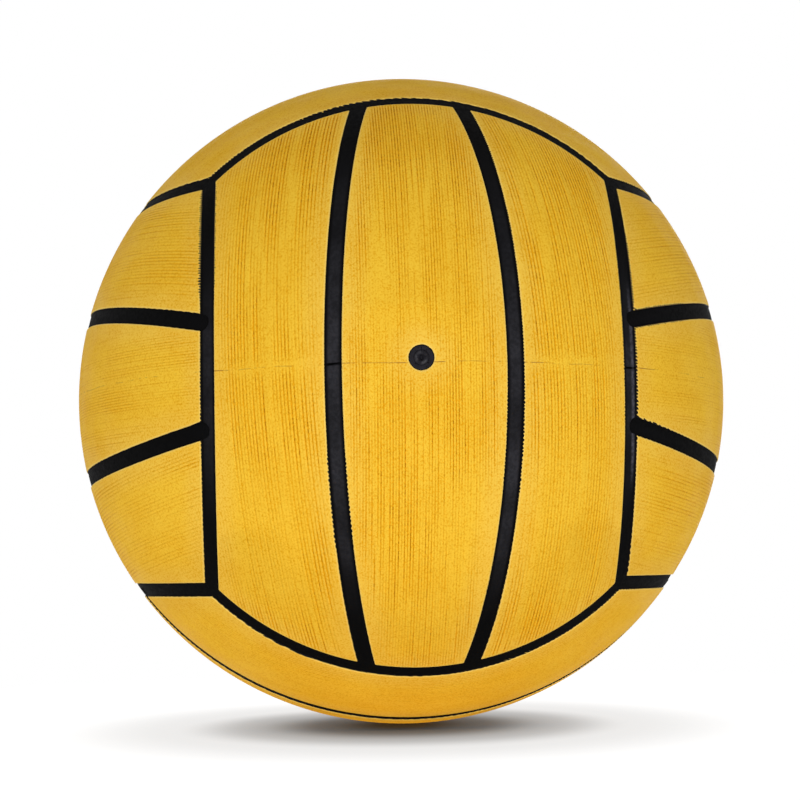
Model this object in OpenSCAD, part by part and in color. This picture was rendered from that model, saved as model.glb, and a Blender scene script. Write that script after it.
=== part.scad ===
// Water polo ball: eighteen rubber panels, with black strips in the channels between them, laid on a
// rubber carcass over a thread winding and an air bladder with a needle valve.
// The origin is the middle of the ball, +Z is up, and the valve looks along -Y.

/* [Ball] */
// Outside diameter of the ball, pumped up
ball_d = 220; // [200:1:226]

/* [Cover panels] */
// Thickness of a rubber panel
panel_t = 1.4; // [1.2:0.1:2.4]
// Angle from the middle of a face to each channel beside its middle panel
middle_half_angle = 14; // [11:0.5:17]
// Radius of the rolled lip along the edges of a panel
lip_r = 0.7; // [0.3:0.05:1]

/* [Channels] */
// Width of the black channels between the panels
channel_w = 5; // [3:0.1:8]
// Depth of the channels below the face of the panels
channel_depth = 0.8; // [0.4:0.05:1]

/* [Inner layers] */
// Thickness of the carcass, which the panels and strips are laid on
carcass_t = 0.5; // [0.4:0.05:1.2]
// Thickness of the thread winding
winding_t = 0.4; // [0.3:0.05:0.8]
// Wall of the air bladder
bladder_t = 0.5; // [0.4:0.05:1]
// Layer of cement round each panel and strip, and between the inner layers
cement_gap = 0.1; // [0.05:0.01:0.2]

/* [Valve] */
// How far the valve stands to the right of the middle of its panel, as an angle
valve_azimuth = -0.6; // [-4:0.1:4]
// How far the valve stands above the middle of its panel, as an angle
valve_elevation = 1.3; // [-4:0.1:4]
// Width of the valve housing where it shows
valve_d = 7.4; // [6.8:0.1:9]
// How far the end of the valve lies below the face of its panel
valve_recess = 0.3; // [0.1:0.05:0.6]
// Gap round the valve housing in the layers it passes through
valve_gap = 0.15; // [0.1:0.01:0.3]
// Length of the valve housing
housing_l = 14; // [12:0.5:20]
// Width of the flange that holds the housing behind the bladder
flange_d = 26; // [18:0.5:34]
// Thickness of that flange
flange_t = 1; // [0.6:0.1:1.6]
// Width of the patch between the flange and the bladder
patch_d = 36; // [35:0.5:44]
// Thickness of that patch
patch_t = 0.5; // [0.4:0.05:0.8]

/* [Valve core] */
// Width of the core's head
core_head_d = 4.4; // [4:0.1:5]
// Thickness of the core's head
core_head_t = 1.2; // [0.8:0.1:2]
// Width of the core's stem
core_stem_d = 3.2; // [3:0.1:3.6]
// Width of the bulb that locks the core behind the housing's throat
core_bulb_d = 4.8; // [4.4:0.1:5.4]
// Length of the core's bulb
core_bulb_l = 3; // [2:0.1:4]
// Length of the whole core
core_l = 15; // [14:0.5:20]
// Gap round the core in its housing
core_gap = 0.05; // [0.03:0.01:0.1]
// Width of the needle bore with no needle in it
needle_bore_d = 1.2; // [0.8:0.1:1.8]
// Length of the needle bore, behind its dimple
needle_bore_l = 9; // [7:0.5:10]
// Width of the dimple that guides the needle
dimple_d = 2.6; // [2.2:0.1:3.2]
// Depth of that dimple
dimple_depth = 0.7; // [0.4:0.05:1]
// Width of the slit that closes behind the needle
slit_w = 2; // [1.4:0.1:2.6]
// Opening of that slit
slit_gap = 0.15; // [0.1:0.01:0.3]

/* [Balance patch] */
// Width of the patch that evens out the weight of the valve
balance_d = 44; // [30:1:60]
// Thickness of that patch
balance_t = 1.2; // [0.6:0.1:2]

/* [Hidden] */
$fn = 120;
cover_colour = [0.94, 0.75, 0.2];
rubber_colour = [0.1, 0.1, 0.12];
thread_colour = [0.88, 0.87, 0.82];
bladder_colour = [0.23, 0.22, 0.22];
patch_colour = [0.55, 0.2, 0.16];

// Steps in which the lip of a panel rolls over
lip_steps = 2;
// How far a cut runs past what it opens
overrun = 1;

ball_r = ball_d / 2;
// Each face of the pattern reaches this angle from its own middle, to the corners where three faces meet
corner_angle = atan(sqrt(2));

// Each face ends at this angle from the axis behind it
end_angle = 180 - corner_angle + arc_angle(channel_w / 2);

// Width of the black strips that fill the channels
strip_w = channel_w - 2 * cement_gap;

// Distances from the middle of the ball, from the outside in
strip_r = ball_r - channel_depth;
panel_back_r = ball_r - panel_t;
carcass_r = panel_back_r - cement_gap;
carcass_back_r = carcass_r - carcass_t;
winding_r = carcass_back_r - cement_gap;
winding_back_r = winding_r - winding_t;
bladder_r = winding_back_r - cement_gap;
bladder_back_r = bladder_r - bladder_t;
lining_r = bladder_back_r - cement_gap;
flange_r = lining_r - patch_t - cement_gap;

valve_top_r = ball_r - valve_recess;
valve_hole_r = valve_d / 2 + valve_gap;
housing_end_r = valve_top_r - housing_l;
core_end_r = valve_top_r - core_l;
needle_mouth_r = valve_top_r - dimple_depth;
needle_end_r = needle_mouth_r - needle_bore_l;
bulb_top_r = core_end_r + 2 * core_bulb_l;

// Angles that turn the front face onto each face of the ball
front_angles = [0, 0, 0];
back_angles = [0, 0, 180];
left_angles = [90, 90, 0];
right_angles = [90, -90, 0];
top_angles = [-90, 0, 90];
bottom_angles = [90, 0, 90];

// Angle that a length takes up on the face of the ball
function arc_angle(length) = length / ball_r * 180 / PI;

// Lean of one step of a lip from the wall below it
function lip_lean(step) = 90 * (step - 0.5) / lip_steps;

// How far from the wall that step meets the face of the ball
function lip_reach(step) =
  let (start = 90 * (step - 1) / lip_steps)
  lip_r * (1 - cos(start) + (1 - sin(start)) * tan(lip_lean(step)));

// Angles that turn the X axis along a direction
function facing(direction) =
  [0, -asin(direction[2] / norm(direction)), atan2(direction[1], direction[0])];

// Layer of the ball between two distances from its middle
module shell(front_r, back_r) {
  difference() {
    sphere(r = front_r);
    sphere(r = back_r);
  }
}

// Takes off the children what lies within an angle of the level axis at an azimuth. The cut is a sphere
// centred on that axis. It stands square to the face of the ball, or leans away from the axis.
module trim(azimuth, angle, lean) {
  far = angle + lean;
  centre = ball_r * (cos(angle) + sin(angle) * tan(far));
  trim_r = ball_r * sin(angle) / abs(cos(far));
  place = centre * [cos(azimuth), sin(azimuth), 0];
  if (far < 90)
    difference() {
      children();
      translate(place) sphere(r = trim_r);
    }
  else
    intersection() {
      children();
      translate(place) sphere(r = trim_r);
    }
}

// Rolls the edge of the children over, where they end at an angle from the level axis at an azimuth
module roll(azimuth, angle, step = 1) {
  if (step > lip_steps)
    children();
  else
    roll(azimuth, angle, step + 1)
      trim(azimuth, angle + arc_angle(lip_reach(step)), lip_lean(step))
        children();
}

// Takes off the children what lies past a flat cut, whose distance from the middle of the ball is behind it
module trim_flat(azimuth, behind) {
  difference() {
    children();
    rotate([0, 0, azimuth])
      translate([-behind, -ball_d, -ball_d])
        cube([ball_d, 2 * ball_d, 2 * ball_d]);
  }
}

// Takes off the children what lies behind a flat cut that passes just in front of the middle of the ball
// and faces along a direction
module mitre(direction) {
  difference() {
    children();
    rotate(facing(direction))
      translate([cement_gap / 2 - ball_d, -ball_d, -ball_d])
        cube([ball_d, 2 * ball_d, 2 * ball_d]);
  }
}

// Trims one side of a front panel: side 1 looks to the right, side -1 to the left.
// The slots of a face are -1, 0 and 1, from left to right.
module trim_side(side, slot) {
  seam_azimuth = middle_half_angle * (slot == 0 ? side : slot) + (side > 0 ? 0 : 180);
  azimuth = slot == side ? (side > 0 ? 0 : 180) : seam_azimuth;
  angle = (slot == side ? corner_angle : 90) + arc_angle(channel_w / 2);
  roll(azimuth, angle)
    if (slot == side)
      trim(azimuth, angle, 0) children();
    else
      trim_flat(azimuth, channel_w / 2) children();
}

// A panel of the cover, trimmed on the front face and turned onto its own
module cover_panel(angles, slot) {
  rotate(angles)
    trim_side(1, slot)
      trim_side(-1, slot)
        roll(90, end_angle)
          trim(90, end_angle, 0)
            shell(ball_r, panel_back_r);
}

// The strip in the channel to the left, side -1, or right of a face's middle panel
module seam_strip(angles, side) {
  azimuth = side * middle_half_angle;
  rotate(angles)
    trim_flat(azimuth, -strip_w / 2)
      trim_flat(azimuth + 180, -strip_w / 2)
        trim(90, end_angle, 0)
          shell(strip_r, panel_back_r);
}

// The strip in the channel at the upper end of a face, 1, or at its lower end, -1.
// Three such strips meet at each corner, 120 degrees apart, with a mitre between each two.
module end_strip(angles, end) {
  half_angle = arc_angle(strip_w / 2);
  rotate(angles)
    mitre([1, 1, 2 * end]) mitre([2, -1, end])
      mitre([-1, 1, 2 * end]) mitre([-2, -1, end])
        trim(90, 180 - corner_angle - half_angle, 0)
          trim(-90, corner_angle - half_angle, 0)
            shell(strip_r, panel_back_r);
}

// Stands the upright axis along the valve
module along_valve() {
  rotate([0, 0, valve_azimuth]) rotate([90 - valve_elevation, 0, 0]) children();
}

// Upright cylinder between two distances from the middle of the ball
module post(r, from, to) {
  translate([0, 0, from]) cylinder(r = r, h = to - from);
}

// Opening that the valve housing passes through
module valve_hole() {
  along_valve() post(valve_hole_r, housing_end_r, ball_r + overrun);
}

// Disc that lies against the inside of a layer of the ball
module dished_disc(d, front_r, back_r) {
  intersection() {
    shell(front_r, back_r);
    post(d / 2, housing_end_r, ball_r);
  }
}

module panel_front_left() {
  color(cover_colour) cover_panel(front_angles, -1);
}

module panel_front_right() {
  color(cover_colour) cover_panel(front_angles, 1);
}

module panel_back_left() {
  color(cover_colour) cover_panel(back_angles, 1);
}

module panel_back_middle() {
  color(cover_colour) cover_panel(back_angles, 0);
}

module panel_back_right() {
  color(cover_colour) cover_panel(back_angles, -1);
}

module panel_left_upper() {
  color(cover_colour) cover_panel(left_angles, -1);
}

module panel_left_middle() {
  color(cover_colour) cover_panel(left_angles, 0);
}

module panel_left_lower() {
  color(cover_colour) cover_panel(left_angles, 1);
}

module panel_right_upper() {
  color(cover_colour) cover_panel(right_angles, 1);
}

module panel_right_middle() {
  color(cover_colour) cover_panel(right_angles, 0);
}

module panel_right_lower() {
  color(cover_colour) cover_panel(right_angles, -1);
}

module panel_top_front() {
  color(cover_colour) cover_panel(top_angles, -1);
}

module panel_top_middle() {
  color(cover_colour) cover_panel(top_angles, 0);
}

module panel_top_back() {
  color(cover_colour) cover_panel(top_angles, 1);
}

module panel_bottom_front() {
  color(cover_colour) cover_panel(bottom_angles, -1);
}

module panel_bottom_middle() {
  color(cover_colour) cover_panel(bottom_angles, 0);
}

module panel_bottom_back() {
  color(cover_colour) cover_panel(bottom_angles, 1);
}

// The only panel with a hole, for the valve
module panel_front_middle() {
  color(cover_colour) difference() {
    cover_panel(front_angles, 0);
    valve_hole();
  }
}

module strip_front_left() {
  color(rubber_colour) seam_strip(front_angles, -1);
}

module strip_front_right() {
  color(rubber_colour) seam_strip(front_angles, 1);
}

module strip_front_upper() {
  color(rubber_colour) end_strip(front_angles, 1);
}

module strip_front_lower() {
  color(rubber_colour) end_strip(front_angles, -1);
}

module strip_back_left() {
  color(rubber_colour) seam_strip(back_angles, 1);
}

module strip_back_right() {
  color(rubber_colour) seam_strip(back_angles, -1);
}

module strip_back_upper() {
  color(rubber_colour) end_strip(back_angles, 1);
}

module strip_back_lower() {
  color(rubber_colour) end_strip(back_angles, -1);
}

module strip_left_upper() {
  color(rubber_colour) seam_strip(left_angles, -1);
}

module strip_left_lower() {
  color(rubber_colour) seam_strip(left_angles, 1);
}

module strip_left_front() {
  color(rubber_colour) end_strip(left_angles, 1);
}

module strip_left_back() {
  color(rubber_colour) end_strip(left_angles, -1);
}

module strip_right_upper() {
  color(rubber_colour) seam_strip(right_angles, 1);
}

module strip_right_lower() {
  color(rubber_colour) seam_strip(right_angles, -1);
}

module strip_right_front() {
  color(rubber_colour) end_strip(right_angles, 1);
}

module strip_right_back() {
  color(rubber_colour) end_strip(right_angles, -1);
}

module strip_top_front() {
  color(rubber_colour) seam_strip(top_angles, -1);
}

module strip_top_back() {
  color(rubber_colour) seam_strip(top_angles, 1);
}

module strip_top_left() {
  color(rubber_colour) end_strip(top_angles, 1);
}

module strip_top_right() {
  color(rubber_colour) end_strip(top_angles, -1);
}

module strip_bottom_front() {
  color(rubber_colour) seam_strip(bottom_angles, -1);
}

module strip_bottom_back() {
  color(rubber_colour) seam_strip(bottom_angles, 1);
}

module strip_bottom_left() {
  color(rubber_colour) end_strip(bottom_angles, -1);
}

module strip_bottom_right() {
  color(rubber_colour) end_strip(bottom_angles, 1);
}

// Thin layer of rubber, cured over the winding
module carcass() {
  color(rubber_colour) difference() {
    shell(carcass_r, carcass_back_r);
    valve_hole();
  }
}

// Nylon thread wound all over the bladder
module thread_winding() {
  color(thread_colour) difference() {
    shell(winding_r, winding_back_r);
    valve_hole();
  }
}

module bladder() {
  color(bladder_colour) difference() {
    shell(bladder_r, bladder_back_r);
    valve_hole();
  }
}

module valve_patch() {
  color(patch_colour) difference() {
    along_valve() dished_disc(patch_d, lining_r, lining_r - patch_t);
    valve_hole();
  }
}

// Rubber neck that shows in the panel, with a flange behind the bladder and a throat for the core
module valve_housing() {
  head_floor_r = valve_top_r - core_head_t - core_gap;
  color(rubber_colour) along_valve() difference() {
    union() {
      post(valve_d / 2, housing_end_r, valve_top_r);
      dished_disc(flange_d, flange_r, flange_r - flange_t);
    }
    post(core_head_d / 2 + core_gap, head_floor_r, valve_top_r + overrun);
    post(core_stem_d / 2 + core_gap, housing_end_r - overrun, valve_top_r);
    post(core_bulb_d / 2 + core_gap, housing_end_r - overrun, bulb_top_r + core_gap);
  }
}

// Plug that closes by itself behind the needle
module valve_core() {
  color(rubber_colour) along_valve() difference() {
    union() {
      post(core_head_d / 2, valve_top_r - core_head_t, valve_top_r);
      post(core_stem_d / 2, core_end_r + core_bulb_l, valve_top_r);
      post(core_bulb_d / 2, core_end_r + core_bulb_l, bulb_top_r);
      translate([0, 0, core_end_r])
        cylinder(r1 = core_stem_d / 2, r2 = core_bulb_d / 2, h = core_bulb_l);
    }
    post(needle_bore_d / 2, needle_end_r, valve_top_r);
    translate([0, 0, needle_mouth_r])
      cylinder(r1 = needle_bore_d / 2, r2 = dimple_d / 2, h = dimple_depth);
    translate([-slit_w / 2, -slit_gap / 2, core_end_r - overrun])
      cube([slit_w, slit_gap, needle_end_r - core_end_r + 2 * overrun]);
  }
}

// Lies behind the bladder, opposite the valve
module balance_patch() {
  color(patch_colour)
    along_valve() rotate([180, 0, 0]) dished_disc(balance_d, lining_r, lining_r - balance_t);
}

panel_front_left();
panel_front_middle();
panel_front_right();
panel_back_left();
panel_back_middle();
panel_back_right();
panel_left_upper();
panel_left_middle();
panel_left_lower();
panel_right_upper();
panel_right_middle();
panel_right_lower();
panel_top_front();
panel_top_middle();
panel_top_back();
panel_bottom_front();
panel_bottom_middle();
panel_bottom_back();
strip_front_left();
strip_front_right();
strip_front_upper();
strip_front_lower();
strip_back_left();
strip_back_right();
strip_back_upper();
strip_back_lower();
strip_left_upper();
strip_left_lower();
strip_left_front();
strip_left_back();
strip_right_upper();
strip_right_lower();
strip_right_front();
strip_right_back();
strip_top_front();
strip_top_back();
strip_top_left();
strip_top_right();
strip_bottom_front();
strip_bottom_back();
strip_bottom_left();
strip_bottom_right();
carcass();
thread_winding();
bladder();
valve_patch();
valve_housing();
valve_core();
balance_patch();
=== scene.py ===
# Water polo ball: ribbed yellow panels, black strips in the channels between them, and a needle valve.
import math

import bpy
from mathutils import Euler, Matrix, Vector, noise


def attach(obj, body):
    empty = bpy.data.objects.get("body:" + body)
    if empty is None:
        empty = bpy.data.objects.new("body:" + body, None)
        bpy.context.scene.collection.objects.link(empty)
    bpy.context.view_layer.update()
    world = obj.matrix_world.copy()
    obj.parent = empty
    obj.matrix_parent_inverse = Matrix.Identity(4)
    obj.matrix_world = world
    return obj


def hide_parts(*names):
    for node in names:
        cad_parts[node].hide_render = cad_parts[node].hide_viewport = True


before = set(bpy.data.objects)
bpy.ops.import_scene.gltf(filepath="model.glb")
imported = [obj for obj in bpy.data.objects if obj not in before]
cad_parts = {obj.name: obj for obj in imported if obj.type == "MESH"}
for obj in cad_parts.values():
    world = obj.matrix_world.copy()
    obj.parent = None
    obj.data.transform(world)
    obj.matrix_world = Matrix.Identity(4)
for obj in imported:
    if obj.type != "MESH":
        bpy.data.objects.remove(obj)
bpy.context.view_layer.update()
print("frame loaded:", len(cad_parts), "nodes")

ball = {
    "radius": 0.110,
    "cornerAngle": math.atan(math.sqrt(2)),  # from the middle of a face to its corners
    "innerSeam": math.radians(14),  # from the middle of a face to its two inner channels
    "channelWidth": 0.005,
    "valveAzimuth": math.radians(-0.6),
    "valveElevation": math.radians(1.3),
}
halfChannel = ball["channelWidth"] / 2 / ball["radius"]
valveTurn = Euler((math.pi / 2 - ball["valveElevation"], 0, ball["valveAzimuth"])).to_matrix()
valveAxis = valveTurn @ Vector((0, 0, 1))
towardsFront = Vector((0, -1, 0))

# the front face is modelled, and turned onto the other five
faceTurns = {
    "front": (0, 0, 0),
    "back": (0, 0, 180),
    "left": (90, 90, 0),
    "right": (90, -90, 0),
    "top": (-90, 0, 90),
    "bottom": (90, 0, 90),
}


def faceMatrix(face):
    return Euler([math.radians(a) for a in faceTurns[face]]).to_matrix()


def clamp(value, low=0.0, high=1.0):
    return max(low, min(high, value))


def smoothStep(low, high, value):
    t = clamp((value - low) / (high - low))
    return t * t * (3 - 2 * t)


def selectOnly(piece):
    bpy.ops.object.select_all(action="DESELECT")
    piece.select_set(True)
    bpy.context.view_layer.objects.active = piece


def addPrimitive(name, add, **settings):
    bpy.ops.object.select_all(action="DESELECT")
    add(**settings)
    piece = bpy.context.object
    piece.name = piece.data.name = name
    return piece


def turnOutward(piece):
    # a sheet that is open all round may have every face turned inwards
    middleFace = piece.data.polygons[len(piece.data.polygons) // 2]
    if middleFace.normal.dot(middleFace.center) < 0:
        piece.data.flip_normals()


def thicken(piece, thickness):
    wall = piece.modifiers.new("thickness", "SOLIDIFY")
    wall.thickness, wall.offset = thickness, -1
    bpy.ops.object.modifier_apply(modifier=wall.name)


def finishPiece(piece, smoothAngle, material, node):
    selectOnly(piece)
    bpy.ops.object.shade_smooth_by_angle(angle=math.radians(smoothAngle))
    piece.data.materials.clear()
    piece.data.materials.append(material)
    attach(piece, "root")
    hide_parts(node)


# materials

def addNode(tree, kind, values=None, **settings):
    made = tree.nodes.new(kind)
    for name, value in settings.items():
        setattr(made, name, value)
    for socket, value in (values or {}).items():
        if isinstance(value, bpy.types.NodeSocket):
            tree.links.new(value, made.inputs[socket])
        else:
            made.inputs[socket].default_value = value
    return made


def mathNode(tree, operation, *values, clampIt=False):
    made = addNode(tree, "ShaderNodeMath", dict(enumerate(values)), operation=operation, use_clamp=clampIt)
    return made.outputs[0]


def times(tree, first, *others):
    for other in others:
        first = mathNode(tree, "MULTIPLY", first, other)
    return first


def apart(tree, first, second):
    return mathNode(tree, "ABSOLUTE", mathNode(tree, "SUBTRACT", first, second))


def distanceTo(tree, place, spot):
    made = addNode(tree, "ShaderNodeVectorMath", {0: place, 1: spot}, operation="DISTANCE")
    return made.outputs["Value"]


def lengthOf(tree, vector):
    return addNode(tree, "ShaderNodeVectorMath", {0: vector}, operation="LENGTH").outputs["Value"]


def rangeNode(tree, value, fromLow, fromHigh, toLow=0.0, toHigh=1.0):
    made = addNode(tree, "ShaderNodeMapRange", {
        "Value": value, "From Min": fromLow, "From Max": fromHigh, "To Min": toLow, "To Max": toHigh,
    }, interpolation_type="SMOOTHSTEP")
    return made.outputs["Result"]


def noiseNode(tree, vector, scale, detail=2.0, roughness=0.5):
    made = addNode(tree, "ShaderNodeTexNoise", {
        "Vector": vector, "Scale": scale, "Detail": detail, "Roughness": roughness,
    })
    return made.outputs["Fac"]


def patchesNode(tree, place, limits, **settings):
    return rangeNode(tree, noiseNode(tree, place, **settings), *limits)


def mixColours(tree, share, first, second):
    made = addNode(tree, "ShaderNodeMix", {0: share, 6: first, 7: second}, data_type="RGBA")
    return made.outputs[2]


def bumpFrom(tree, shader, height, strength, distance):
    bump = addNode(tree, "ShaderNodeBump", {"Strength": strength, "Distance": distance, "Height": height})
    tree.links.new(bump.outputs["Normal"], shader.inputs["Normal"])


def newMaterial(name, colour, roughness, specular=0.5):
    material = bpy.data.materials.new(name)
    material.use_nodes = True
    tree = material.node_tree
    shader = tree.nodes["Principled BSDF"]
    shader.inputs["Base Color"].default_value = (*colour[:3], 1)
    shader.inputs["Roughness"].default_value = roughness
    shader.inputs["Specular IOR Level"].default_value = specular
    place = addNode(tree, "ShaderNodeTexCoord").outputs["Object"]
    return material, tree, shader, place


def newGroup(name, inputs, outputs):
    group = bpy.data.node_groups.new(name, "ShaderNodeTree")
    for socket, kind in inputs:
        group.interface.new_socket(name=socket, in_out="INPUT", socket_type=kind)
    for socket, kind in outputs:
        group.interface.new_socket(name=socket, in_out="OUTPUT", socket_type=kind)
    return group, group.nodes.new("NodeGroupInput"), group.nodes.new("NodeGroupOutput")


mouldLook = {
    "grain": {"detail": 3.0, "roughness": 0.6},
    "dents": {"detail": 2.0, "roughness": 0.5},
    "lineHeight": 0.0018,  # the two halves of the mould meet a little above the middle of the ball
    "waver": 0.0012,
    "waverNoise": {"scale": 60.0, "detail": 1.0},
    "gaps": {"scale": 190.0, "detail": 2.0, "roughness": 0.7, "limits": (0.58, 0.46)},
    "softness": (1.0, 0.35),
}


def moulding():
    # fine grain, soft dents and the parting line that the mould leaves round the middle of the ball
    numbers = ("Grain size", "Dent size", "Line width", "Breaks")
    group, given, made = newGroup(
        "moulding",
        [("Vector", "NodeSocketVector"), *((name, "NodeSocketFloat") for name in numbers)],
        [(name, "NodeSocketFloat") for name in ("Grain", "Dents", "Line")],
    )
    look, place = mouldLook, given.outputs["Vector"]
    grainScale = mathNode(group, "DIVIDE", 1.0, given.outputs["Grain size"])
    grain = noiseNode(group, place, grainScale, **look["grain"])
    dentScale = mathNode(group, "DIVIDE", 1.0, given.outputs["Dent size"])
    dents = noiseNode(group, place, dentScale, **look["dents"])
    parts = addNode(group, "ShaderNodeSeparateXYZ", {0: place})
    waver = times(group, noiseNode(group, place, **look["waverNoise"]), look["waver"])
    offLine = apart(group, mathNode(group, "ADD", parts.outputs["Z"], waver), look["lineHeight"])
    gaps = patchesNode(group, place, **look["gaps"])
    broken = mathNode(group, "SUBTRACT", 1.0, times(group, gaps, given.outputs["Breaks"]))
    inWidths = mathNode(group, "DIVIDE", offLine, given.outputs["Line width"])
    line = rangeNode(group, inWidths, *look["softness"])
    group.links.new(grain, made.inputs["Grain"])
    group.links.new(dents, made.inputs["Dents"])
    group.links.new(times(group, line, broken), made.inputs["Line"])
    return group


mouldingGroup = moulding()


def moulded(tree, place, look):
    made = addNode(tree, "ShaderNodeGroup", {
        "Vector": place, "Grain size": look["grainSize"], "Dent size": look["dentSize"],
        "Line width": look["lineWidth"], "Breaks": look["breaks"],
    }, node_tree=mouldingGroup)
    return made.outputs["Grain"], made.outputs["Dents"], made.outputs["Line"]


coverLook = {
    "lemon": (0.97, 0.600, 0.044, 1),
    "amber": (0.81, 0.380, 0.004, 1),
    "pale": (0.94, 0.600, 0.085, 1),
    # painted highlight along the rolled lip of each panel
    "rim": (0.96, 0.690, 0.170, 1),
    # painted shadow line down the deepest part of a valley
    "valley": (0.38, 0.140, 0.001, 1),
    "seamBrown": (0.42, 0.20, 0.03, 1),
    "blackCreep": (0.006, 0.006, 0.007, 1),
    "roughness": 0.62,
    "roughnessSpread": (-0.06, 0.08),
    "specular": 0.06,
    "valleyHalf": 0.36,  # half width of the painted shade in a valley, as a share of the pitch
    "lineHalf": 0.20,  # and of the darker painted shadow line in it
    "dotStretch": (3.71, 0.85),  # of the pattern, across the ribs and along them
    "dots": {"scale": 1.0, "detail": 3.0, "roughness": 0.7, "limits": (0.38, 0.64)},
    "dashStretch": (5.3, 0.16),
    "dashes": {"scale": 1.0, "detail": 2.0, "roughness": 0.5, "limits": (0.35, 0.62, 0.35, 1.0)},
    "valleyShadeShare": 0.95,
    "valleyShadowShare": 0.85,
    "blotches": {"scale": 45.0, "detail": 4.0, "roughness": 0.6, "limits": (0.35, 0.70)},
    "blotchShare": 0.22,
    "speckles": (0.46, 0.68),
    "speckleShare": 0.75,
    "grainSize": 0.00055,
    "dentSize": 0.012,
    "lineWidth": 0.00022,
    "breaks": 1.0,
    "paleReach": (1.5, 10.0),  # millimetres from a channel
    "paleShare": 0.65,
    # millimetres from a channel within which the painted lip highlight is full, and past which it is gone
    "rimReach": (0.35, 0.75),
    "lipHighlightShare": 0.62,
    "seamReach": 12.0,  # millimetres from a channel, over which the parting line dies away
    "seamShare": (0.40, 0.95),
    "dull": (0.3, 0.7),  # dents between which the roughness goes from its lowest to its highest
    "grainHeight": 0.5,
    "bump": (0.6, 0.00012),  # strength and distance
    "creep": 0.10,  # millimetres of lip that the black covers
    "creepEdge": 0.04,
    "toothReach": 0.75,
    "toothRun": (310.0, 520.0, 980.0),  # teeth to the metre, along each axis
    "toothLimits": (0.08, 0.34),
    "toothNoise": {"scale": 420.0, "detail": 1.0},
    "toothUneven": 0.9,
    "toothOwn": {"scale": 700.0, "detail": 0.5, "limits": (0.35, 0.60, 0.50, 1.0)},
    "raggedElsewhere": {"scale": 22.0, "detail": 1.0, "limits": (0.45, 0.75, 0.08, 0.35)},
    "raggedCore": 0.6,  # share of the reach of a frayed spot over which it is at its full strength
    "raggedSpots": [  # where the edge of the black is frayed most: place, reach and strength
        ((-0.0635, -0.0780, 0.044), 0.027, 1.0),
        ((0.0290, -0.1045, -0.020), 0.022, 0.35),
        ((0.0635, -0.0860, 0.012), 0.040, 0.6),
        ((-0.0270, -0.1050, -0.040), 0.020, 0.4),
    ],
}


def fraying(tree, place, look):
    # uneven teeth about a millimetre apart, strong near a few spots and faint elsewhere
    run = addNode(tree, "ShaderNodeVectorMath", {0: place, 1: look["toothRun"]}, operation="DOT_PRODUCT")
    uneven = times(tree, noiseNode(tree, place, **look["toothNoise"]), look["toothUneven"])
    wave = mathNode(tree, "PINGPONG", mathNode(tree, "ADD", run.outputs["Value"], uneven), 0.5)
    own = patchesNode(tree, place, **look["toothOwn"])
    teeth = times(tree, rangeNode(tree, wave, *look["toothLimits"]), own)
    strength = patchesNode(tree, place, **look["raggedElsewhere"])
    for spot, reach, share in look["raggedSpots"]:
        away = distanceTo(tree, place, spot)
        ragged = rangeNode(tree, away, reach, reach * look["raggedCore"], 0.0, share)
        strength = mathNode(tree, "MAXIMUM", strength, ragged)
    return times(tree, teeth, strength)


def alongRibs(tree, rib, along, stretch, patches):
    # patches that differ from rib to rib and run along each of them
    onRib = addNode(tree, "ShaderNodeCombineXYZ", {
        0: times(tree, rib, stretch[0]), 1: times(tree, along, stretch[1]),
    })
    return patchesNode(tree, onRib.outputs[0], **patches)


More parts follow.
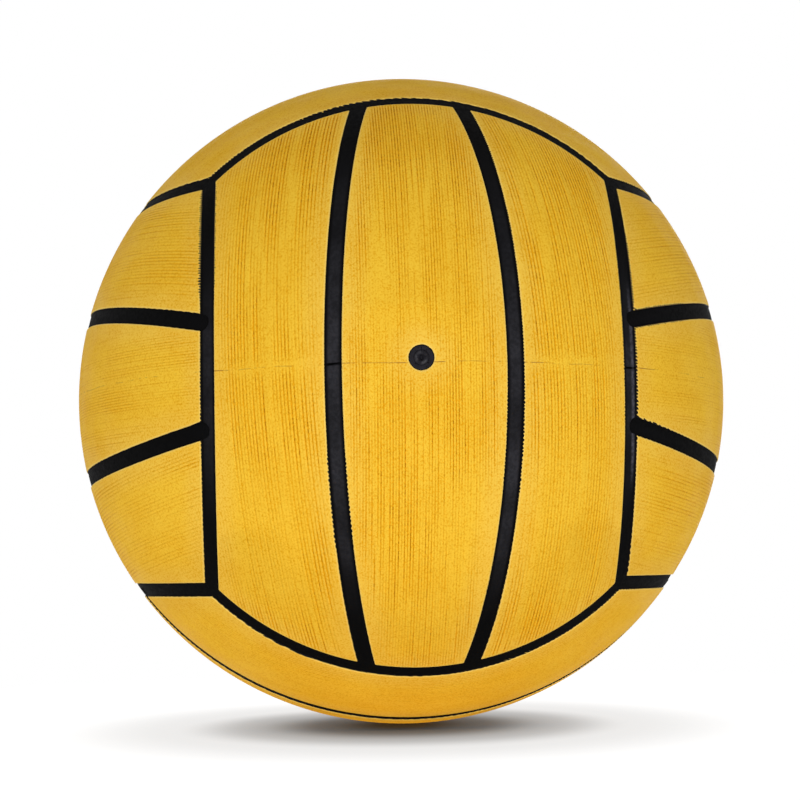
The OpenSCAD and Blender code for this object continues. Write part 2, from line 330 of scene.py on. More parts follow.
def coverRubber():
    look = coverLook
    material, tree, shader, place = newMaterial(
        "coverRubber", look["lemon"], look["roughness"], look["specular"])
    onSheet = addNode(tree, "ShaderNodeUVMap", uv_map="sheet").outputs["UV"]
    sheet = addNode(tree, "ShaderNodeSeparateXYZ", {0: onSheet})
    across, along = sheet.outputs["X"], sheet.outputs["Y"]
    depth = addNode(tree, "ShaderNodeAttribute", attribute_name="ribDepth").outputs["Fac"]
    fromEdge = addNode(tree, "ShaderNodeAttribute", attribute_name="edgeDistance").outputs["Fac"]
    grain, dents, partingLine = moulded(tree, place, look)

    # painted shade: each valley is darkened to amber, more where it is deeper, with a broken dark line where
    # it is deepest
    fromValley = mathNode(tree, "PINGPONG", across, 0.5)
    rib = mathNode(tree, "ROUND", across)
    dots = alongRibs(tree, rib, along, look["dotStretch"], look["dots"])
    dashes = alongRibs(tree, rib, along, look["dashStretch"], look["dashes"])
    valley = times(tree, rangeNode(tree, fromValley, 0.0, look["valleyHalf"], 1.0, 0.0), depth)
    line = times(tree, rangeNode(tree, fromValley, 0.0, look["lineHalf"], 1.0, 0.0), depth)
    valleyShadowLine = mathNode(tree, "MULTIPLY", times(tree, line, dots), dashes, clampIt=True)

    blotch = patchesNode(tree, place, **look["blotches"])
    speckle = rangeNode(tree, grain, *look["speckles"])
    nearEdge = rangeNode(tree, fromEdge, *look["paleReach"], 1.0, 0.0)
    colour = mixColours(tree, times(tree, nearEdge, look["paleShare"]), look["lemon"], look["pale"])
    patchy = mathNode(tree, "ADD", times(tree, blotch, look["blotchShare"]),
                      times(tree, speckle, look["speckleShare"]))
    # amber from random blotches and speckles, and painted shade in the valleys
    blotchesAndValleyShade = mathNode(tree, "ADD", times(tree, valley, look["valleyShadeShare"]), patchy, clampIt=True)
    colour = mixColours(tree, blotchesAndValleyShade, colour, look["amber"])
    colour = mixColours(tree, times(tree, valleyShadowLine, look["valleyShadowShare"]), colour, look["valley"])
    # painted highlight along the rolled lip, next to the channels
    lipHighlightIn, lipHighlightOut = look["rimReach"]
    rim = rangeNode(tree, fromEdge, lipHighlightOut, lipHighlightIn, 0.0, look["lipHighlightShare"])
    colour = mixColours(tree, rim, colour, look["rim"])
    seam = times(tree, partingLine, rangeNode(tree, fromEdge, look["seamReach"], 0.0, *look["seamShare"]))
    colour = mixColours(tree, seam, colour, look["seamBrown"])

    # black rubber creeps over the lip
    teeth = times(tree, fraying(tree, place, look), look["toothReach"])
    pastCreep = mathNode(tree, "SUBTRACT", fromEdge, mathNode(tree, "ADD", look["creep"], teeth))
    black = rangeNode(tree, pastCreep, -look["creepEdge"], look["creepEdge"], 1.0, 0.0)
    tree.links.new(mixColours(tree, black, colour, look["blackCreep"]), shader.inputs["Base Color"])

    smoother, rougher = (look["roughness"] + spread for spread in look["roughnessSpread"])
    tree.links.new(rangeNode(tree, dents, *look["dull"], smoother, rougher), shader.inputs["Roughness"])
    height = mathNode(tree, "SUBTRACT", times(tree, grain, look["grainHeight"]), valleyShadowLine)
    bumpFrom(tree, shader, height, *look["bump"])
    return material


channelLook = {
    "black": (0.0030, 0.0030, 0.0032, 1),
    # painted sheen, in patches
    "paintedSheen": (0.0310, 0.0305, 0.0360, 1),
    # black of the parting-line cracks, also used as painted shade inside the valve's pinhole
    "crackAndPinholeShade": (0.0006, 0.0006, 0.0006, 1),
    "lineWidth": 0.00050,  # of the crack that the parting line leaves in a strip
    "breaks": 0.35,
    "uncracked": [  # places and reach
        ((0.0266, -0.1065, 0.002), 0.009),
        ((-0.0635, -0.0895, 0.002), 0.009),
    ],
    "uncrackedCore": 0.7,  # share of the reach with no crack at all
    "sheenDents": (0.30, 0.70, 0.45, 1.0),
    "roughness": 0.70,
    "roughnessSpread": (-0.08, 0.12),
    "specular": 0.015,
    "sheenReach": (0.076, 0.101),  # how far to the front or back the painted sheen on the strips begins, and is full
    "sheenHeight": -0.015,  # where it is strongest, and how it fades above and below
    "sheenFade": (0.065, 0.020, 0.40, 0.95),
    # spots of stronger painted sheen: place, reach and strength
    "sheenSpots": [((0.0640, -0.0890, 0.000), 0.036, 0.75), ((-0.0640, -0.0890, 0.004), 0.020, 0.7)],
    "sheenCore": 0.4,
    "sheenGrain": (0.35, 0.65, 0.75, 1.20),
    "crown": (0.47, 0.24),  # painted shade along both edges, where the painted sheen is kept off
    "stripHighlight": (0.0850, 0.0840, 0.1080, 1),  # painted highlight down one side of the right front strip
    "stripHighlightSpot": ((0.0640, -0.0890, -0.004), 0.034),
    "stripHighlightCore": 0.6,
    "stripHighlightGrain": (0.35, 0.65, 0.35, 1.0),
    "stripHighlightSide": 0.28,  # its place across the strip
    "stripHighlightHalf": 0.22,
    "grainSize": 0.0011,
    "dentSize": 0.016,
    "dull": (0.35, 0.7),
    "grainHeight": 0.3,
    "crackHeight": 3.0,
    "bump": (0.6, 0.0003),
}
# the strips inside the side faces get only a faint painted sheen and no painted highlight
sideLook = {**channelLook, "paintedSheen": (0.0050, 0.0050, 0.0060, 1), "stripHighlight": channelLook["black"]}
valveLook = {
    **channelLook,
    "black": (0.0075, 0.0068, 0.0088, 1),
    # lighter patches of painted sheen on the valve
    "paintedSheen": (0.0200, 0.0190, 0.0240, 1),
    # painted highlight on the ring round the dimple
    "ringHighlight": (0.0560, 0.0560, 0.0620, 1),
    "ringRadius": 0.0016,
    "ringHalf": 0.0006,
    "ringDents": (0.42, 0.68),
    "pinhole": valveAxis * 0.1093,
    # painted shade that makes the pinhole black inside
    "pinholeReach": (0.00062, 0.00040),
    "roughness": 0.5,
    "specular": 0.05,
    "lineWidth": 0.000001,
    "grainSize": 0.0004,
    "dentSize": 0.002,
}


def stripColour(tree, place, look, grain, paintedSheen):
    # painted sheen along the crown of the strips that face the front or back, kept off their edges as
    # painted shade, and a painted highlight down one side
    parts = addNode(tree, "ShaderNodeSeparateXYZ", {0: place})
    sheenMask = rangeNode(tree, mathNode(tree, "ABSOLUTE", parts.outputs["Y"]), *look["sheenReach"])
    offHeight = apart(tree, parts.outputs["Z"], look["sheenHeight"])
    sheenMask = times(tree, sheenMask, rangeNode(tree, offHeight, *look["sheenFade"]))
    for spot, reach, share in look["sheenSpots"]:
        away = distanceTo(tree, place, spot)
        sheenSpot = rangeNode(tree, away, reach, reach * look["sheenCore"], 0.0, share)
        sheenMask = mathNode(tree, "MAXIMUM", sheenMask, sheenSpot)
    sheenMask = times(tree, sheenMask, rangeNode(tree, grain, *look["sheenGrain"]))
    onStrip = addNode(tree, "ShaderNodeUVMap", uv_map="UVMap").outputs["UV"]
    across = addNode(tree, "ShaderNodeSeparateXYZ", {0: onStrip}).outputs["X"]
    crown = rangeNode(tree, apart(tree, across, 0.5), *look["crown"])
    colour = mixColours(tree, times(tree, paintedSheen, times(tree, sheenMask, crown)), look["black"], look["paintedSheen"])
    # painted highlight along one side of the strip, near one spot
    spot, reach = look["stripHighlightSpot"]
    stripHighlight = times(tree, rangeNode(tree, apart(tree, across, look["stripHighlightSide"]), look["stripHighlightHalf"], 0.0),
                 rangeNode(tree, distanceTo(tree, place, spot), reach, reach * look["stripHighlightCore"]),
                 rangeNode(tree, grain, *look["stripHighlightGrain"]))
    return mixColours(tree, stripHighlight, colour, look["stripHighlight"])


def valveColour(tree, place, look, dents, paintedSheen):
    # lighter patches of painted sheen, a painted highlight ring round the dimple, and painted shade that
    # makes the pinhole black inside
    colour = mixColours(tree, paintedSheen, look["black"], look["paintedSheen"])
    offPinhole = distanceTo(tree, place, look["pinhole"])
    ringHighlight = times(tree, rangeNode(tree, apart(tree, offPinhole, look["ringRadius"]), look["ringHalf"], 0.0),
                 rangeNode(tree, dents, *look["ringDents"]))
    colour = mixColours(tree, ringHighlight, colour, look["ringHighlight"])
    # painted shade: black inside the pinhole
    return mixColours(tree, rangeNode(tree, offPinhole, *look["pinholeReach"]), colour, look["crackAndPinholeShade"])


def blackRubber(name, look):
    material, tree, shader, place = newMaterial(name, look["black"], look["roughness"], look["specular"])
    grain, dents, cracked = moulded(tree, place, look)
    # patches where the painted sheen shows
    paintedSheen = rangeNode(tree, dents, *look["sheenDents"])
    if "pinhole" in look:
        colour = valveColour(tree, place, look, dents, paintedSheen)
    else:
        colour = stripColour(tree, place, look, grain, paintedSheen)
    for spot, reach in look["uncracked"]:
        away = distanceTo(tree, place, spot)
        cracked = times(tree, cracked, rangeNode(tree, away, reach * look["uncrackedCore"], reach))
    tree.links.new(mixColours(tree, cracked, colour, look["crackAndPinholeShade"]), shader.inputs["Base Color"])
    smoother, rougher = (look["roughness"] + spread for spread in look["roughnessSpread"])
    tree.links.new(rangeNode(tree, grain, *look["dull"], smoother, rougher), shader.inputs["Roughness"])
    height = mathNode(tree, "ADD", times(tree, grain, look["grainHeight"]), dents)
    height = mathNode(tree, "SUBTRACT", height, times(tree, cracked, look["crackHeight"]))
    bumpFrom(tree, shader, height, *look["bump"])
    return material


innerLook = {
    "grainSize": 0.0008,
    "dentSize": 0.02,
    "lineWidth": 0.0002,
    "breaks": 1.0,
    "dust": (0.35, 0.75),
    "bump": (0.3, 0.0002),
}


def innerRubber(name, colour, dusty, roughness):
    # plain rubber with a bloom of talc
    material, tree, shader, place = newMaterial(name, colour, roughness)
    grain, dents, _ = moulded(tree, place, innerLook)
    dust = rangeNode(tree, dents, *innerLook["dust"])
    tree.links.new(mixColours(tree, dust, (*colour, 1), (*dusty, 1)), shader.inputs["Base Color"])
    bumpFrom(tree, shader, grain, *innerLook["bump"])
    return material


threadLook = {
    "plain": (0.75, 0.73, 0.66),
    "roughness": 0.5,
    "thread": (0.78, 0.76, 0.70, 1),
    # painted shade between the threads
    "between": (0.35, 0.33, 0.28, 1),
    "turns": ((0.3, 0.2, 0.0), (1.3, 0.4, 0.9), (0.5, 1.2, 2.1)),  # of each layer of the winding
    "scale": 320.0,
    "distortion": 1.5,
    "bump": (0.6, 0.0003),
}


def woundThread():
    look = threadLook
    material, tree, shader, place = newMaterial("woundThread", look["plain"], look["roughness"])
    height = None
    for turn in look["turns"]:
        turned = addNode(tree, "ShaderNodeMapping", {"Vector": place, "Rotation": turn})
        wave = addNode(tree, "ShaderNodeTexWave", {
            "Vector": turned.outputs[0], "Scale": look["scale"], "Distortion": look["distortion"],
        }).outputs["Fac"]
        height = wave if height is None else mathNode(tree, "MAXIMUM", height, wave)
    # painted shade: darker where the winding is low, between the threads
    tree.links.new(mixColours(tree, height, look["between"], look["thread"]), shader.inputs["Base Color"])
    bumpFrom(tree, shader, height, *look["bump"])
    return material


coverMaterial = coverRubber()
channelMaterial = blackRubber("channelRubber", channelLook)
sideMaterial = blackRubber("sideChannelRubber", sideLook)
valveMaterial = blackRubber("valveRubber", valveLook)
print("materials made")

# panels

panel = {
    "names": {  # of the three panels of a face, as the front face is turned onto it
        "front": ("left", "middle", "right"),
        "back": ("right", "middle", "left"),
        "left": ("upper", "middle", "lower"),
        "right": ("lower", "middle", "upper"),
        "top": ("front", "middle", "back"),
        "bottom": ("front", "middle", "back"),
    },
    "thickness": 0.0014,
    "ribs": {0: 396, 1: 316},  # on half a turn of the ball, for a middle and an outer panel
    "pointsPerRib": 4,
    "reach": {0: (-15, 15), 1: (-4, 29)},  # degrees that the sheet covers, across the ribs
    "halfLength": 57,  # degrees that it covers each way, along the ribs
    "steps": 66,
    "ribTurn": math.radians(2.5),  # how far the ribs of an outer panel are turned from its inner channel
    "ribDepth": {0: 0.00013, 1: 0.00016},
    "profileSteps": (0.25, 0.75),  # from the bottom of a valley, in half pitches: flat so far, then the side
    "sideProfile": 0.30,  # depth on the side of a rib, as a share
    "faceStrength": {"front": 1.3, "back": 1.1, "left": 0.75, "right": 0.75, "top": 0.55, "bottom": 0.50},
    "fullness": {0: 0.50, 1: 0.58},  # how much of the ribs has come out of the mould well
    "ownShare": 0.85,  # how much this varies from rib to rib, and from one bunch of ribs to the next
    "bunchShare": 0.65,
    "ribLength": 22,
    "bunchLength": 60,
    "bunchWidth": 5,
    "ribSeeds": (1.37, 5.7),  # steps through the noise from rib to rib, and from panel to panel
    "bunchSeeds": (2.9, 40),  # step from panel to panel, and the first one
    "patchSeeds": (7.3, 3.1),
    "crestHeight": (0.045, 0.078),  # the ribs come out fuller near the top of the front panels
    "crestFullness": 0.30,
    "patchScale": 28,
    "patchLimits": (-0.35, 0.25),
    "patchFloor": 0.45,
    # the ribs run out along the sides, at the ends, at the parting line and round the valve
    "sideFade": (0.0006, 0.0042),
    "endFade": (0.0, 0.0020),
    "lineFade": (0.0002, 0.0020),
    "lineHeight": 0.0015,
    "valveFade": (0.0042, 0.0095),
    "outerSkin": 0.0003,  # points no deeper than this are on the outside
    "lipRadius": 0.00048,
    "lipCuts": (0.00005, 0.00012, 0.00022, 0.00034, 0.00048, 0.0010),
    "valveHole": 0.00375,
    "holePoints": 72,
    "holeDepth": 0.01,
    "valveReach": 0.0055,
    "valveCuts": 0.0004,
    "valveCreep": 0.00008,
    "rimReach": 0.0009,
    "rimSink": 0.00022,
    "smoothAngle": 35,
    "patternStep": (64, 230),  # ribs and millimetres that the pattern moves from one panel to the next
}


def panelEdges(slot):
    # each edge is a circle about an axis, with the panel outside it: both ends first, then the sides
    seam = ball["innerSeam"]
    ends = [(-towardsFront, math.pi - ball["cornerAngle"] + halfChannel)]
    if slot == 0:
        return ends + [(Vector((side * math.cos(seam), math.sin(seam), 0)), math.pi / 2 + halfChannel)
                       for side in (-1, 1)]
    inner = (Vector((-slot * math.cos(seam), -math.sin(seam), 0)), math.pi / 2 + halfChannel)
    outer = (Vector((slot, 0, 0)), ball["cornerAngle"] + halfChannel)
    return [*ends, inner, outer]


def ribPole(slot):
    seam, turn = slot * ball["innerSeam"], panel["ribTurn"] * abs(slot)
    return Vector((math.cos(seam) * math.cos(turn), math.sin(seam) * math.cos(turn), math.sin(turn)))


def sheetAxes(pole):
    start = (towardsFront - pole * pole.dot(towardsFront)).normalized()
    return start, pole.cross(start)


def sheetPlace(point, slot, pole, start, side):
    # ribs across, and millimetres along them
    ribs = math.asin(clamp(point.dot(pole) / point.length, -1, 1)) / math.pi * panel["ribs"][abs(slot)]
    return ribs, math.atan2(point.dot(side), point.dot(start)) * ball["radius"] * 1000


def cutMesh(place, normal, clearIt=False):
    bpy.ops.mesh.select_all(action="SELECT")
    bpy.ops.mesh.bisect(plane_co=place, plane_no=normal, clear_outer=clearIt)


def selectFaces(piece, test):
    bpy.ops.object.mode_set(mode="OBJECT")
    for polygon in piece.data.polygons:
        polygon.select = test(polygon.center)
    bpy.ops.object.mode_set(mode="EDIT")


def spinSheet(name, slot):
    # an arc across the ribs is spun along them into a sheet
    pole = ribPole(slot)
    low, high = (math.radians(a) for a in panel["reach"][slot])
    half = math.radians(panel["halfLength"])
    start, side = (Matrix.Rotation(-half, 3, pole) @ way for way in sheetAxes(pole))
    piece = addPrimitive(name, bpy.ops.mesh.primitive_circle_add, radius=ball["radius"],
                         vertices=2 * panel["ribs"][slot] * panel["pointsPerRib"])
    piece.data.transform(Matrix((start, pole, side)).transposed().to_4x4())
    bpy.ops.object.mode_set(mode="EDIT")
    cutMesh(pole * ball["radius"] * math.sin(high), pole, clearIt=True)
    cutMesh(pole * ball["radius"] * math.sin(low), -pole, clearIt=True)
    cutMesh(Vector(), -start, clearIt=True)
    bpy.ops.mesh.select_all(action="SELECT")
    bpy.ops.mesh.spin(steps=panel["steps"], angle=-2 * half, center=(0, 0, 0), axis=pole)
    bpy.ops.mesh.select_all(action="SELECT")
    bpy.ops.mesh.normals_make_consistent(inside=False)
    return piece


def mapSheet(piece, slot):
    pole = ribPole(slot)
    start, side = sheetAxes(pole)
    layers = piece.data.uv_layers
    layer = layers[0] if layers else layers.new(name="sheet")
    layer.name = "sheet"
    for loop in piece.data.loops:
        point = piece.data.vertices[loop.vertex_index].co
        layer.data[loop.index].uv = sheetPlace(point, slot, pole, start, side)


def cutRowsAtValve(piece, centre):
    # finer rows of faces round the valve, for its rolled rim
    reach, step = panel["valveReach"], panel["valveCuts"]
    for row in range(round(2 * reach / step) + 1):
        selectFaces(piece, lambda place: max(abs(place.x - centre.x), abs(place.z - centre.z)) < reach)
        bpy.ops.mesh.bisect(plane_co=(0, 0, centre.z - reach + row * step), plane_no=(0, 0, 1))


def boreHole(piece, centre):
    cutter = addPrimitive("holeCutter", bpy.ops.mesh.primitive_cylinder_add,
                          vertices=panel["holePoints"], radius=panel["valveHole"], depth=panel["holeDepth"],
                          location=centre, rotation=valveTurn.to_euler())
    hole = piece.modifiers.new("hole", "BOOLEAN")
    hole.object, hole.operation, hole.solver = cutter, "DIFFERENCE", "EXACT"
    bpy.context.view_layer.objects.active = piece
    bpy.ops.object.modifier_apply(modifier=hole.name)
    bpy.data.objects.remove(cutter)


def modelPanel(name, slot, withHole=False):
    # the sheet is cut to the panel, gets extra rows of points for its lips, and then its thickness
    piece = spinSheet(name, slot)
    edges = panelEdges(slot)
    for axis, angle in edges:
        cutMesh(axis * ball["radius"] * math.cos(angle), axis, clearIt=True)
    for axis, angle in edges:
        for cut in panel["lipCuts"]:
            cutMesh(axis * ball["radius"] * math.cos(angle + cut / ball["radius"]), axis)
    centre = valveAxis * ball["radius"]
    if withHole:
        cutRowsAtValve(piece, centre)
    bpy.ops.object.mode_set(mode="OBJECT")
    turnOutward(piece)
    mapSheet(piece, slot)
    thicken(piece, panel["thickness"])
    if withHole:
        boreHole(piece, centre)
    print(name, "modelled:", len(piece.data.vertices), "points")
    return piece


def ribStrength(face, slot, number, world, gaps, fromValve, valley, along):
    # how deep the valleys are here: they run out near the edges, and some came out of the mould faint
    strength = smoothStep(*panel["sideFade"], min(gaps[1:])) * smoothStep(*panel["endFade"], gaps[0])
    offLine = abs(world.z - panel["lineHeight"])
    strength *= smoothStep(*panel["lineFade"], offLine) * smoothStep(*panel["valveFade"], fromValve)
    patchX, patchY = panel["patchSeeds"]
    patch = noise.noise(world * panel["patchScale"] + Vector((number * patchX, number * patchY, 0)))
    strength *= panel["patchFloor"] + (1 - panel["patchFloor"]) * smoothStep(*panel["patchLimits"], patch)
    ribStep, panelStep = panel["ribSeeds"]
    own = noise.noise(Vector((valley * ribStep, along / panel["ribLength"], number * panelStep)))
    panelStep, first = panel["bunchSeeds"]
    acrossBunch, alongBunch = valley / panel["bunchWidth"], along / panel["bunchLength"]
    bunch = noise.noise(Vector((acrossBunch, alongBunch, number * panelStep + first)))
    crest = panel["crestFullness"] * smoothStep(*panel["crestHeight"], world.z) if face == "front" else 0
    fullness = panel["fullness"][abs(slot)] + crest + panel["ownShare"] * own + panel["bunchShare"] * bunch
    return strength * (clamp(fullness) * panel["faceStrength"][face] * (1 + crest))


def ribProfile(off):
    # share of the depth, by the distance from the bottom of the valley in half pitches
    bottom, crown = panel["profileSteps"]
    if off < bottom:
        return 1
    return panel["sideProfile"] if off < crown else 0


def edgeSink(gap, rim):
    # the lip is rolled over along the channels, and less round the valve
    lip, sink = panel["lipRadius"], 0.0
    if gap < lip:
        sink += lip - math.sqrt(max(0.0, lip ** 2 - (lip - max(gap, 0)) ** 2))
    if rim < panel["rimReach"]:
        sink += panel["rimSink"] * (1 - max(rim, 0) / panel["rimReach"]) ** 2
    return sink


def pressPanel(piece, face, slot, number):
    # sinks the valleys between the ribs and rolls the edges over, then turns the panel onto its face
    mesh, turn = piece.data, faceMatrix(face)
    edges, pole = panelEdges(slot), ribPole(slot)
    start, side = sheetAxes(pole)
    depthValues, edgeValues = [], []
    for vertex in mesh.vertices:
        outward = vertex.co.normalized()
        radius = vertex.co.length
        gaps = [(axis.angle(outward) - angle) * ball["radius"] for axis, angle in edges]
        ribs, along = sheetPlace(vertex.co, slot, pole, start, side)
        fromValve = valveAxis.angle(turn @ outward) * ball["radius"] if face == "front" else 1
        rim = fromValve - panel["valveHole"]
        valley, world = round(ribs), turn @ outward * ball["radius"]
        strength = ribStrength(face, slot, number, world, gaps, fromValve, valley, along)
        if radius > ball["radius"] - panel["outerSkin"]:
            sink = panel["ribDepth"][abs(slot)] * strength * ribProfile(abs(ribs - valley) * 2)
            vertex.co = outward * (radius - sink - edgeSink(min(gaps), rim))
        depthValues.append(strength)
        edgeValues.append(min(*gaps, rim + panel["valveCreep"]) * 1000)
    for label, values in (("ribDepth", depthValues), ("edgeDistance", edgeValues)):
        mesh.attributes.new(label, "FLOAT", "POINT").data.foreach_set("value", values)
    ribStep, alongStep = panel["patternStep"]
    for item in mesh.uv_layers["sheet"].data:
        item.uv = (item.uv[0] + number * ribStep, item.uv[1] + number * alongStep)
    mesh.transform(turn.to_4x4())


def copyOf(source, name):
    piece = source.copy()
    piece.data = source.data.copy()
    piece.name = piece.data.name = name
    bpy.context.scene.collection.objects.link(piece)
    return piece


plain = {0: modelPanel("middlePanel", 0), 1: modelPanel("outerPanel", 1)}
plain[-1] = copyOf(plain[1], "outerPanelTurned")
plain[-1].data.transform(Matrix.Rotation(math.pi, 4, "Y"))
holed = modelPanel("valvePanel", 0, withHole=True)
number = 0
for face, names in panel["names"].items():
    for slot, place in zip((-1, 0, 1), names):
        number += 1
        nodeName = f"panel_{face}_{place}"
        piece = copyOf(holed if nodeName == "panel_front_middle" else plain[slot], f"cover_{face}_{place}")
        pressPanel(piece, face, slot, number)
        finishPiece(piece, panel["smoothAngle"], coverMaterial, nodeName)
for source in (*plain.values(), holed):
    bpy.data.objects.remove(source)
print("panels made:", number)

# black strips in the channels

strip = {
    "names": {  # at the left and right seams of a middle panel, and at the upper and lower ends of the face
        "front": ("left", "right", "upper", "lower"),
        "back": ("right", "left", "upper", "lower"),
        "left": ("upper", "lower", "front", "back"),
        "right": ("lower", "upper", "front", "back"),
        "top": ("front", "back", "left", "right"),
        "bottom": ("front", "back", "right", "left"),
    },
    "halfWidth": 0.00249,
    "thickness": 0.00085,
    "floorDepth": 0.00040,  # below the face of the panels, in the middle
    "edgeDrop": 0.00014,
    "edgeCurve": 4,
    "edgeRun": (0.001, 0.006),  # from a strip's end, over which its edges begin to drop
    "columns": 13,
    "rows": 84,
    "rowCrowding": 1.35,  # rows are closer at the ends
    "roundEnd": 0.0022,
    "tipWidth": 0.02,  # square of the least width, as a share
    "dents": ((55, 0.00005), (160, 0.000025)),  # to the metre, and depth
    "overlap": 0.0004,  # how far an inner strip runs past the middle of the one that it ends on
    "lapRise": 0.00006,
    "lapReach": (0.8, 2.0),  # overlaps from its end to where it starts to come down, and to where it is down
    "lapRun": 0.003,
    "endOverlap": 0.0006,
    "endLift": {
        "front": 0.0, "back": 0.0, "left": 0.00001, "right": 0.00001, "top": -0.00001, "bottom": -0.00001,
    },
    "smoothAngle": 40,
}


def layStrip(name, axis, angle, middle, halfSpan, lift, lap):
    # a flat grid is wrapped round the ball along its seam, dished a little, and rounded off at both ends
    piece = addPrimitive(name, bpy.ops.mesh.primitive_grid_add, size=2,
                         x_subdivisions=strip["columns"], y_subdivisions=strip["rows"])
    start = (middle - axis * axis.dot(middle)).normalized()
    side = axis.cross(start)
    circle = ball["radius"] * math.sin(angle)
    reach = halfSpan * circle + lap
    endsOnAnother = halfSpan > math.pi / 4
    lapLow, lapHigh = (share * lap for share in strip["lapReach"])
    for vertex in piece.data.vertices:
        x, y = vertex.co.x, vertex.co.y
        along = math.copysign(1 - (1 - abs(y)) ** strip["rowCrowding"], y) * reach
        left = reach - abs(along)
        width = strip["halfWidth"]
        if left < strip["roundEnd"]:
            width *= math.sqrt(max(strip["tipWidth"], 1 - (1 - left / strip["roundEnd"]) ** 2))
        acrossAngle = angle + x * width / ball["radius"]
        turn = along / circle
        level = start * math.cos(turn) + side * math.sin(turn)
        outward = axis * math.cos(acrossAngle) + level * math.sin(acrossAngle)
        rise = lift + sum(noise.noise(outward * scale) * depth for scale, depth in strip["dents"])
        rise -= strip["edgeDrop"] * abs(x) ** strip["edgeCurve"] * smoothStep(*strip["edgeRun"], left)
        if endsOnAnother:
            rise += 2 * strip["lapRise"] * (1 - smoothStep(lapLow, lapHigh + strip["lapRun"], left))
        vertex.co = outward * (ball["radius"] - strip["floorDepth"] + rise)
    bpy.ops.object.mode_set(mode="EDIT")
    bpy.ops.mesh.select_all(action="SELECT")
    bpy.ops.mesh.normals_make_consistent(inside=False)
    bpy.ops.object.mode_set(mode="OBJECT")
    turnOutward(piece)
    thicken(piece, strip["thickness"])
    return piece


seamSpan = math.acos(math.cos(ball["cornerAngle"]) / math.cos(ball["innerSeam"]))
for face, names in strip["names"].items():
    turn = faceMatrix(face)
    for side, place in zip((-1, 1), names[:2]):
        seam = side * ball["innerSeam"]
        axis = turn @ Vector((math.cos(seam), math.sin(seam), 0))
        middle = turn @ Vector((math.sin(seam), -math.cos(seam), 0))
        piece = layStrip(f"laid_{face}_{place}", axis, math.pi / 2, middle, seamSpan,
                         strip["lapRise"], strip["overlap"])
        material = channelMaterial if face in ("front", "back") else sideMaterial
        finishPiece(piece, strip["smoothAngle"], material, f"strip_{face}_{place}")
    for end, place in zip((1, -1), names[2:]):
        middle = turn @ Vector((0, -1, end))
        piece = layStrip(f"laid_{face}_{place}", turn @ towardsFront, ball["cornerAngle"], middle,
                         math.pi / 4, strip["endLift"][face], strip["endOverlap"])
        finishPiece(piece, strip["smoothAngle"], channelMaterial, f"strip_{face}_{place}")
print("channel strips laid")

# valve

valve = {
    "faceRadius": 0.1097,  # from the middle of the ball to the face of the valve
    "points": 64,
    # radius and height over that face in millimetres, from the outer edge inwards; the last is the foot
    "neck": [
        (3.70, -0.35), (3.62, -0.16), (3.42, -0.02), (3.15, 0),
        (2.45, -0.02), (2.28, -0.08), (2.23, -1.2), (0, -14.0),
    ],
    "plug": [
        (2.18, -0.10), (2.05, -0.01), (1.75, 0.01), (1.45, 0.10), (1.20, 0.04),
        (0.90, -0.18), (0.60, -0.42), (0.48, -0.70), (0.432, -4.0), (0, -15.0),
    ],
    "slitReach": 0.0007,  # rings within this are drawn out to a slit
    "slitDepth": 0.005,
    "slitShape": (0.90, 1.50),
    "smoothAngle": 40,
}


def turnedPiece(name, profile):
    # an upright cylinder whose top face is extruded and resized step by step, then stood along the valve
    outline = [(radius / 1000, valve["faceRadius"] + height / 1000) for radius, height in profile]
    (radius, height), foot = outline[0], outline[-1][1]
    piece = addPrimitive(name, bpy.ops.mesh.primitive_cylinder_add, vertices=valve["points"], radius=radius,
                         depth=height - foot, location=(0, 0, (height + foot) / 2))
    bpy.ops.object.transform_apply(location=True, rotation=True, scale=True)
    bpy.ops.object.mode_set(mode="EDIT")
    bpy.ops.mesh.select_mode(type="FACE")
    bpy.ops.object.mode_set(mode="OBJECT")
    top = max(piece.data.polygons, key=lambda polygon: polygon.center.z)
    for polygon in piece.data.polygons:
        polygon.select = polygon == top
    bpy.ops.object.mode_set(mode="EDIT")
    for nextRadius, nextHeight in outline[1:-1]:
        share = nextRadius / radius
        bpy.ops.mesh.extrude_region_move(TRANSFORM_OT_translate={"value": (0, 0, nextHeight - height)})
        bpy.ops.transform.resize(value=(share, share, 1), center_override=(0, 0, nextHeight))
        radius, height = nextRadius, nextHeight
    bpy.ops.object.mode_set(mode="OBJECT")
    slitFloor = outline[0][1] - valve["slitDepth"]
    for vertex in piece.data.vertices:
        if 0 < vertex.co.xy.length < valve["slitReach"] and vertex.co.z > slitFloor:
            vertex.co.x *= valve["slitShape"][0]
            vertex.co.y *= valve["slitShape"][1]
    piece.data.transform(valveTurn.to_4x4())
    return piece


neck = turnedPiece("valve_neck", valve["neck"])
finishPiece(neck, valve["smoothAngle"], valveMaterial, "valve_housing")
plug = turnedPiece("valve_plug", valve["plug"])
finishPiece(plug, valve["smoothAngle"], valveMaterial, "valve_core")
print("valve turned")

# the layers inside keep the frame's own meshes

patchMaterial = innerRubber("patchRubber", (0.26, 0.035, 0.022), (0.38, 0.12, 0.09), 0.55)
innerMaterials = {
    "carcass": innerRubber("carcassRubber", (0.014, 0.014, 0.015), (0.030, 0.030, 0.030), 0.6),
    "thread_winding": woundThread(),
    "bladder": innerRubber("bladderRubber", (0.04, 0.038, 0.038), (0.12, 0.115, 0.11), 0.5),
    "valve_patch": patchMaterial,
    "balance_patch": patchMaterial,
}
for nodeName, material in innerMaterials.items():
    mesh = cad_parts[nodeName].data
    mesh.materials.clear()
    mesh.materials.append(material)

# floor, light and camera

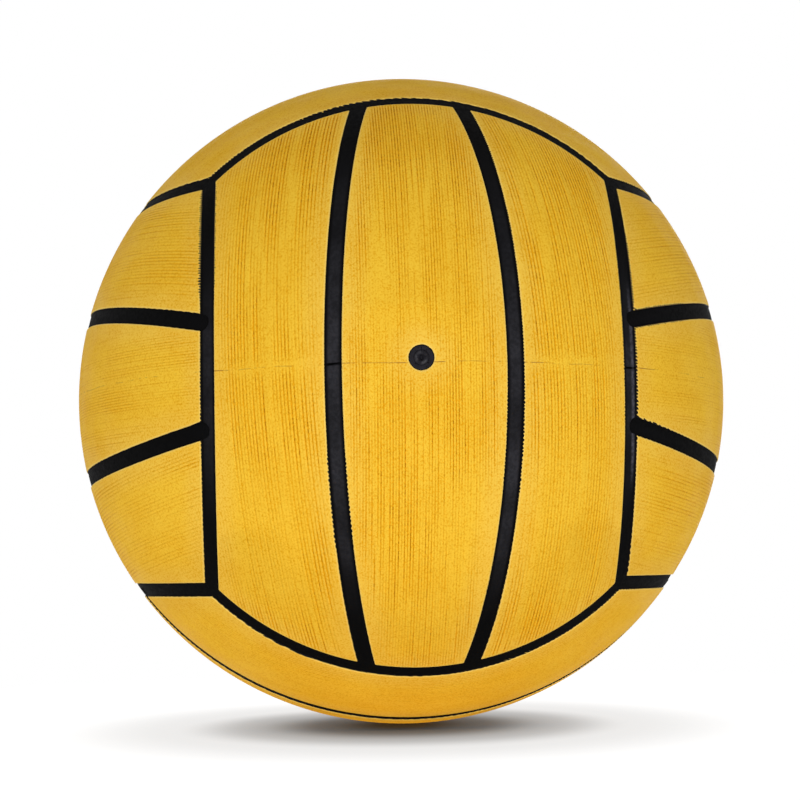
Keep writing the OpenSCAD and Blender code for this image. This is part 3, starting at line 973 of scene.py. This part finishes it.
stageLook = {
    "floorSize": 6.0,
    "floorHeight": -ball["radius"],
    # middle and shape of the oval painted shadow on the paper
    "shadowMiddle": (0.0023, 0.010, 0),
    "shadowShape": (1.13, 1.0, 1.0),
    "paperSeen": (0.10, 0.10, 0.10, 1),
    "paperLit": (0.80, 0.80, 0.80, 1),
    "paintedShadowCentre": (0.0, 0.004, 0.008, 1),  # only the camera sees the paper glow, least in the ball's shadow; this is a painted shadow
    "paintedShadowShades": [  # outwards from there the painted shadow lightens: reach and shade
        ((0.006, 0.040), 0.120),
        ((0.031, 0.060), 0.440),
        ((0.055, 0.086), 0.800),
        ((0.084, 0.145), 1.020),
    ],
    "floorFade": (0.20, 0.32),  # metres from the ball, over which the floor gives way to the backdrop
    "sky": 0.405,
}


def whiteRays(tree):
    # camera, glossy and transmission rays all see the white backdrop
    path = addNode(tree, "ShaderNodeLightPath")
    seen = mathNode(tree, "MAXIMUM", path.outputs["Is Camera Ray"], path.outputs["Is Glossy Ray"])
    return mathNode(tree, "MAXIMUM", seen, path.outputs["Is Transmission Ray"])


def whitePaper():
    material = bpy.data.materials.new("whitePaper")
    material.use_nodes = True
    tree = material.node_tree
    tree.nodes.clear()
    seen = whiteRays(tree)
    place = addNode(tree, "ShaderNodeTexCoord").outputs["Object"]
    distance = lengthOf(tree, place)
    inShadow = addNode(tree, "ShaderNodeMapping", {
        "Vector": place, "Location": stageLook["shadowMiddle"], "Scale": stageLook["shadowShape"],
    })
    offShadow = lengthOf(tree, inShadow.outputs[0])
    # painted shadow: the glow that the camera sees is darkened in an oval round the ball, over the paper's
    # real shadow
    paperGlowAndPaintedShadow = stageLook["paintedShadowCentre"]
    for reach, shade in stageLook["paintedShadowShades"]:
        paperGlowAndPaintedShadow = mixColours(tree, rangeNode(tree, offShadow, *reach), paperGlowAndPaintedShadow, (shade, shade, shade, 1))
    diffuse = addNode(tree, "ShaderNodeBsdfDiffuse", {
        "Color": mixColours(tree, seen, stageLook["paperLit"], stageLook["paperSeen"]),
    })
    glowing = addNode(tree, "ShaderNodeEmission", {"Color": paperGlowAndPaintedShadow, "Strength": seen})
    paper = addNode(tree, "ShaderNodeAddShader", {0: diffuse.outputs[0], 1: glowing.outputs[0]})
    # the light from below passes through the paper, which gives way to the backdrop far off
    shadowRay = addNode(tree, "ShaderNodeLightPath").outputs["Is Shadow Ray"]
    farOff = times(tree, rangeNode(tree, distance, *stageLook["floorFade"]), seen)
    fade = mathNode(tree, "MAXIMUM", shadowRay, farOff)
    clear = addNode(tree, "ShaderNodeBsdfTransparent")
    surface = addNode(tree, "ShaderNodeMixShader", {0: fade, 1: paper.outputs[0], 2: clear.outputs[0]})
    addNode(tree, "ShaderNodeOutputMaterial", {"Surface": surface.outputs[0]})
    return material


floor = addPrimitive("studioFloor", bpy.ops.mesh.primitive_plane_add, size=stageLook["floorSize"],
                     location=(0, 0, stageLook["floorHeight"]))
floor.data.materials.append(whitePaper())

world = bpy.data.worlds.new("studio")
bpy.context.scene.world = world
world.use_nodes = True
worldTree = world.node_tree
worldTree.nodes.clear()
strength = rangeNode(worldTree, whiteRays(worldTree), 0.0, 1.0, stageLook["sky"], 1.0)
backdrop = addNode(worldTree, "ShaderNodeBackground", {"Color": (1, 1, 1, 1), "Strength": strength})
addNode(worldTree, "ShaderNodeOutputWorld", {"Surface": backdrop.outputs[0]})

lamps = {
    "keyLeft": {"place": (-0.60, -1.35, -0.42), "size": 0.9, "watts": 10.3},
    "fillRight": {"place": (0.52, -1.37, -0.42), "size": 0.9, "watts": 7.7},
    "glowBelow": {"place": (0.0, -0.30, -0.90), "size": 0.8, "watts": 1.4},
    "behind": {"place": (0.25, 1.45, 0.35), "size": 0.9, "watts": 11.0},
}
for name, lamp in lamps.items():
    light = bpy.data.lights.new(name, "AREA")
    light.shape, light.size, light.energy = "SQUARE", lamp["size"], lamp["watts"]
    made = bpy.data.objects.new(name, light)
    bpy.context.scene.collection.objects.link(made)
    made.location = lamp["place"]
    made.rotation_euler = (-Vector(lamp["place"])).to_track_quat("-Z", "Y").to_euler()

cameraLook = {
    "distance": 0.6444,
    "azimuth": math.radians(-3.775),
    "elevation": math.radians(-5.250),
    "roll": math.radians(-0.956),
    "lens": 83.71,
    "sensor": 36,
    "aside": (0.00038, 0.00040),  # the ball stands this far right of the middle of the picture and below
}
azimuth, elevation = cameraLook["azimuth"], cameraLook["elevation"]
level = Vector((math.sin(azimuth), -math.cos(azimuth), 0))
away = level * math.cos(elevation) + Vector((0, 0, math.sin(elevation)))
cameraData = bpy.data.cameras.new("camera")
cameraData.lens, cameraData.sensor_width = cameraLook["lens"], cameraLook["sensor"]
camera = bpy.data.objects.new("camera", cameraData)
bpy.context.scene.collection.objects.link(camera)
camera.location = away * cameraLook["distance"]
facing = (-away).to_track_quat("-Z", "Y").to_matrix()
right, up = facing.col[0], facing.col[1]
aim = -right * cameraLook["aside"][0] + up * cameraLook["aside"][1]
facing = (aim - camera.location).to_track_quat("-Z", "Y").to_matrix()
camera.rotation_euler = (facing @ Matrix.Rotation(cameraLook["roll"], 3, "Z")).to_euler()
bpy.context.scene.camera = camera
bpy.context.scene.view_settings.view_transform = "Standard"

print("scene ready")
